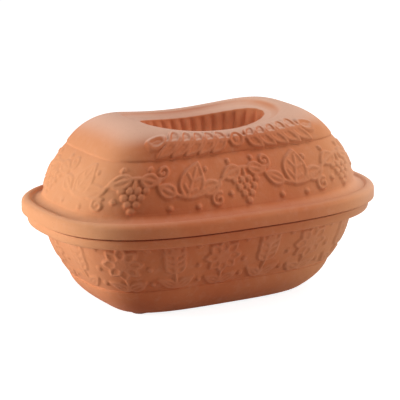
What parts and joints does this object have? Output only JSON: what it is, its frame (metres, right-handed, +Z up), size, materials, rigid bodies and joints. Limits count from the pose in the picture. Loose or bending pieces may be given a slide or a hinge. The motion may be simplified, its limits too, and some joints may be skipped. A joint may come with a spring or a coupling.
{
  "type": "clay roaster",
  "caption": "Oblong unglazed clay roaster: a tapering dish on low feet and a domed lid that sits on its rim, with a fluted grip hollow in its top.",
  "frame": {"origin": "on the surface the feet stand on, under the middle of the dish", "axes": "+X along the length, +Y across, +Z up, the way the lid lifts"},
  "size_m": [0.345, 0.224, 0.1827],
  "materials": {
    "terracotta": "unglazed, matt, pressed fired clay"
  },
  "bodies": {
    "dish_body": {"dish": "terracotta"},
    "lid_body": {"lid": "terracotta"}
  },
  "joints": [
    {"name": "lid_lift", "type": "slide", "parent": "dish_body", "child": "lid_body", "axis": [0, 0, 1], "range_m": [0, 0.16]}
  ]
}
